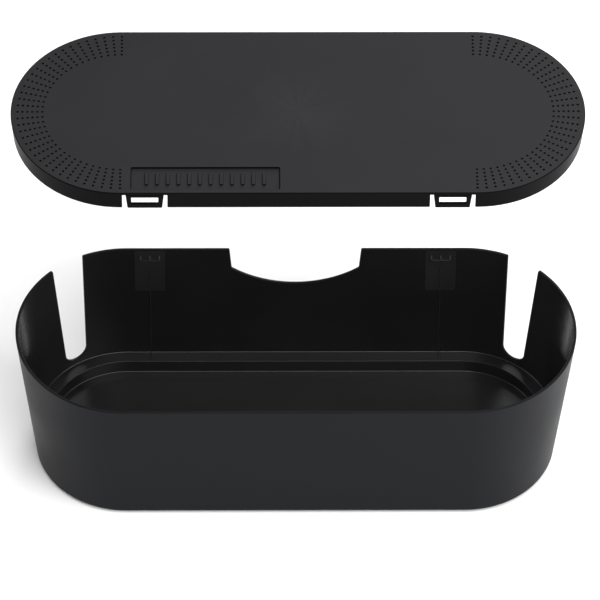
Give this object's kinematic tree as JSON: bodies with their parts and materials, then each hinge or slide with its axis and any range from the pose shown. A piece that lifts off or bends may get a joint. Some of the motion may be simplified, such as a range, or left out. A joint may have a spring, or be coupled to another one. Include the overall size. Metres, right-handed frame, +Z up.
{
  "type": "cable management box",
  "caption": "Long plastic cable box with rounded ends, cable notches at the back and a lift-off snap lid with vent holes.",
  "frame": {"origin": "on the surface that the box stands on, under the middle of the tub", "axes": "+X to the right along the box, +Y towards the wall with the cable notch (the back), +Z up"},
  "size_m": [0.4178, 0.1638, 0.368],
  "materials": {
    "tub_plastic": "black moulded plastic, satin outside, glossier inside",
    "lid_plastic": "dark grey-black moulded plastic, fine matte texture",
    "foot_rubber": "matte black rubber"
  },
  "bodies": {
    "tub": {"tub": "tub_plastic", "foot_front_left": "foot_rubber", "foot_rear_left": "foot_rubber", "foot_front_right": "foot_rubber", "foot_rear_right": "foot_rubber"},
    "lid": {"lid": "lid_plastic"},
    "tongue_front_left": {"tongue_front_left": "lid_plastic"},
    "tongue_rear_left": {"tongue_rear_left": "lid_plastic"},
    "tongue_front_right": {"tongue_front_right": "lid_plastic"},
    "tongue_rear_right": {"tongue_rear_right": "lid_plastic"}
  },
  "joints": [
    {"name": "lid_lift", "type": "slide", "parent": "tub", "child": "lid", "axis": [0, 0, 1], "range_m": [-0.2375, 0]},
    {"name": "flex_front_left", "type": "hinge", "parent": "lid", "child": "tongue_front_left", "pos_m": [-0.1095, -0.0783, 0.365], "axis": [1, 0, 0], "range_deg": [0, 8], "stiffness_Nm_per_rad": 0.6},
    {"name": "flex_rear_left", "type": "hinge", "parent": "lid", "child": "tongue_rear_left", "pos_m": [-0.1095, 0.0783, 0.365], "axis": [-1, 0, 0], "range_deg": [0, 8], "stiffness_Nm_per_rad": 0.6},
    {"name": "flex_front_right", "type": "hinge", "parent": "lid", "child": "tongue_front_right", "pos_m": [0.1095, -0.0783, 0.365], "axis": [1, 0, 0], "range_deg": [0, 8], "stiffness_Nm_per_rad": 0.6},
    {"name": "flex_rear_right", "type": "hinge", "parent": "lid", "child": "tongue_rear_right", "pos_m": [0.1095, 0.0783, 0.365], "axis": [-1, 0, 0], "range_deg": [0, 8], "stiffness_Nm_per_rad": 0.6}
  ]
}
